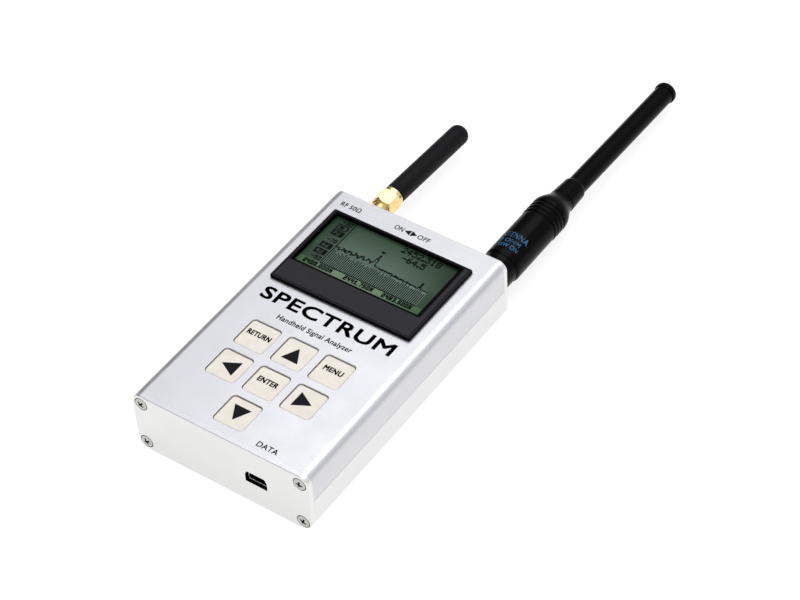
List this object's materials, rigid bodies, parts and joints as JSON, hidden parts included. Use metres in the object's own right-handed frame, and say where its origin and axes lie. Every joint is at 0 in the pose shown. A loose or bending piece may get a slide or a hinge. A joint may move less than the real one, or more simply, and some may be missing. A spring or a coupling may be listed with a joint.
{
  "type": "handheld spectrum analyzer",
  "caption": "Pocket radio spectrum analyzer: silver extruded case, recessed display, key pad, short rubber whip and telescopic antenna.",
  "frame": {"origin": "middle of the case's flat back face, on which it lies", "axes": "+X across the case to the right as the display is read, +Y along the case towards the antennas, +Z out of the display"},
  "size_m": [0.07, 0.2354, 0.0264],
  "materials": {
    "anodised_aluminium": "fine sandblasted silver anodised, satin",
    "nickel_steel": "bright nickel-plated screw heads and spacers",
    "black_frame_plastic": "smooth black moulded plastic, violet-grey sheen",
    "lcd_glass": "grey-green reflective liquid-crystal panel with dark segments",
    "light_guide": "milky light guide",
    "key_plastic": "warm white key caps with black legends",
    "circuit_board": "green solder mask on glass-fibre board",
    "black_nylon": "black nylon",
    "tinned_steel": "tin-plated sheet steel",
    "gold_brass": "gold-plated brass, polished",
    "cell_wrap": "silver-grey pouch cell film",
    "lead_insulation": "red insulated lead",
    "white_nylon": "off-white nylon plug",
    "whip_rubber": "matte black rubber",
    "black_gloss_plastic": "glossy black moulding",
    "chromed_tube": "polished chrome on brass tube"
  },
  "bodies": {
    "case": {"upper_shell": "anodised_aluminium", "lower_shell": "anodised_aluminium", "near_end_plate": "anodised_aluminium", "far_end_plate": "anodised_aluminium", "near_screw_1": "nickel_steel", "far_screw_1": "nickel_steel", "near_screw_2": "nickel_steel", "far_screw_2": "nickel_steel", "near_screw_3": "nickel_steel", "far_screw_3": "nickel_steel", "near_screw_4": "nickel_steel", "far_screw_4": "nickel_steel", "display_bezel": "black_frame_plastic", "lcd_panel": "lcd_glass", "lcd_backlight": "light_guide", "switch_return": "black_nylon", "switch_up": "black_nylon", "switch_menu": "black_nylon", "switch_left": "black_nylon", "switch_enter": "black_nylon", "switch_right": "black_nylon", "switch_down": "black_nylon", "key_board": "circuit_board", "main_board": "circuit_board", "board_spacer_1": "nickel_steel", "board_spacer_2": "nickel_steel", "board_spacer_3": "nickel_steel", "board_spacer_4": "nickel_steel", "rf_shield_left": "tinned_steel", "rf_shield_right": "tinned_steel", "board_header": "black_nylon", "data_socket": "tinned_steel", "battery_pack": "cell_wrap", "battery_plug": "white_nylon", "battery_lead": "lead_insulation", "power_switch_body": "tinned_steel", "left_antenna_jack": "gold_brass", "left_jack_nut": "gold_brass", "right_antenna_jack": "gold_brass", "right_jack_nut": "gold_brass", "left_whip": "whip_rubber"},
    "return_key": {"key_return": "key_plastic"},
    "up_key": {"key_up": "key_plastic"},
    "menu_key": {"key_menu": "key_plastic"},
    "left_key": {"key_left": "key_plastic"},
    "enter_key": {"key_enter": "key_plastic"},
    "right_key": {"key_right": "key_plastic"},
    "down_key": {"key_down": "key_plastic"},
    "power_slider": {"power_switch_slider": "black_nylon"},
    "left_nut": {"left_coupling_nut": "gold_brass"},
    "right_antenna": {"right_antenna_base": "black_gloss_plastic", "right_antenna_connector": "gold_brass", "right_antenna_neck": "black_gloss_plastic", "right_antenna_sleeve": "black_gloss_plastic"},
    "section_1": {"whip_section_1": "chromed_tube"},
    "section_2": {"whip_section_2": "chromed_tube"},
    "section_3": {"whip_section_3": "chromed_tube"},
    "section_4": {"whip_section_4": "chromed_tube", "whip_tip_cap": "black_gloss_plastic"}
  },
  "joints": [
    {"name": "return_key_press", "type": "slide", "parent": "case", "child": "return_key", "axis": [0, 0, -1], "range_m": [0, 0.0004], "stiffness_N_per_m": 2500},
    {"name": "up_key_press", "type": "slide", "parent": "case", "child": "up_key", "axis": [0, 0, -1], "range_m": [0, 0.0004], "stiffness_N_per_m": 2500},
    {"name": "menu_key_press", "type": "slide", "parent": "case", "child": "menu_key", "axis": [0, 0, -1], "range_m": [0, 0.0004], "stiffness_N_per_m": 2500},
    {"name": "left_key_press", "type": "slide", "parent": "case", "child": "left_key", "axis": [0, 0, -1], "range_m": [0, 0.0004], "stiffness_N_per_m": 2500},
    {"name": "enter_key_press", "type": "slide", "parent": "case", "child": "enter_key", "axis": [0, 0, -1], "range_m": [0, 0.0004], "stiffness_N_per_m": 2500},
    {"name": "right_key_press", "type": "slide", "parent": "case", "child": "right_key", "axis": [0, 0, -1], "range_m": [0, 0.0004], "stiffness_N_per_m": 2500},
    {"name": "down_key_press", "type": "slide", "parent": "case", "child": "down_key", "axis": [0, 0, -1], "range_m": [0, 0.0004], "stiffness_N_per_m": 2500},
    {"name": "power_slider_slide", "type": "slide", "parent": "case", "child": "power_slider", "axis": [1, 0, 0], "range_m": [0, 0.0037]},
    {"name": "left_nut_turn", "type": "hinge", "parent": "case", "child": "left_nut", "pos_m": [-0.0255, 0.0722, 0.0104], "axis": [0, 1, 0], "continuous": true},
    {"name": "right_antenna_turn", "type": "hinge", "parent": "case", "child": "right_antenna", "pos_m": [0.0258, 0.0718, 0.0104], "axis": [0, 1, 0], "continuous": true},
    {"name": "section_1_slide", "type": "slide", "parent": "right_antenna", "child": "section_1", "axis": [0, 0.9995, -0.0325], "range_m": [0, 0.055]},
    {"name": "section_2_slide", "type": "slide", "parent": "section_1", "child": "section_2", "axis": [0, 0.9995, -0.0325], "range_m": [0, 0.055]},
    {"name": "section_3_slide", "type": "slide", "parent": "section_2", "child": "section_3", "axis": [0, 0.9995, -0.0325], "range_m": [0, 0.055]},
    {"name": "section_4_slide", "type": "slide", "parent": "section_3", "child": "section_4", "axis": [0, 0.9995, -0.0325], "range_m": [0, 0.055]}
  ],
  "couplings": [
    {"joint": "section_2_slide", "follows": "section_1_slide", "ratio": 1},
    {"joint": "section_3_slide", "follows": "section_1_slide", "ratio": 1},
    {"joint": "section_4_slide", "follows": "section_1_slide", "ratio": 1}
  ]
}
